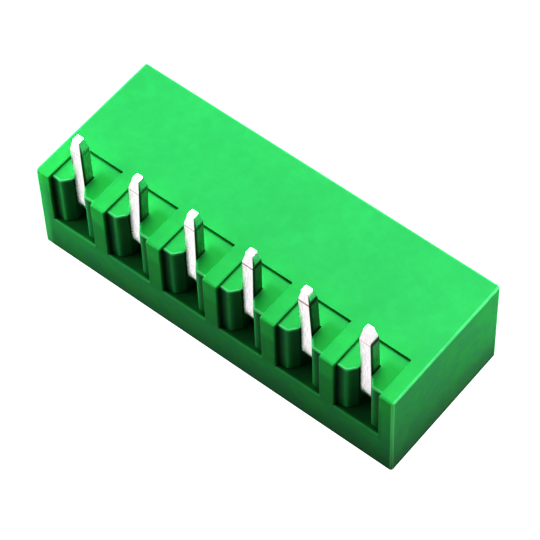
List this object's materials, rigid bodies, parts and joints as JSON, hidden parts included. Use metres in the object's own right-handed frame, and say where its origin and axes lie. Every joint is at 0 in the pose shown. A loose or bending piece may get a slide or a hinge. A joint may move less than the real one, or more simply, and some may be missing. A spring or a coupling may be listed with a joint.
{
  "type": "pluggable terminal block header",
  "caption": "Right-angle pluggable header with closed ends: a plastic housing with a mating cavity, carrying a row of bent square pins.",
  "frame": {"origin": "middle of the housing's outer face, which faces away from the circuit board and on which the loose header lies", "axes": "+X along the row of poles, +Y from the rear wall to the mouth that takes the plug, +Z towards the circuit board, the way the solder pins point"},
  "size_m": [0.0318, 0.012, 0.0132],
  "materials": {
    "housing_plastic": "satin moulded polyamide",
    "tinned_contact": "bright tin plating"
  },
  "bodies": {
    "root": {"housing": "housing_plastic", "pin_1": "tinned_contact", "pin_2": "tinned_contact", "pin_3": "tinned_contact", "pin_4": "tinned_contact", "pin_5": "tinned_contact", "pin_6": "tinned_contact"}
  },
  "joints": []
}
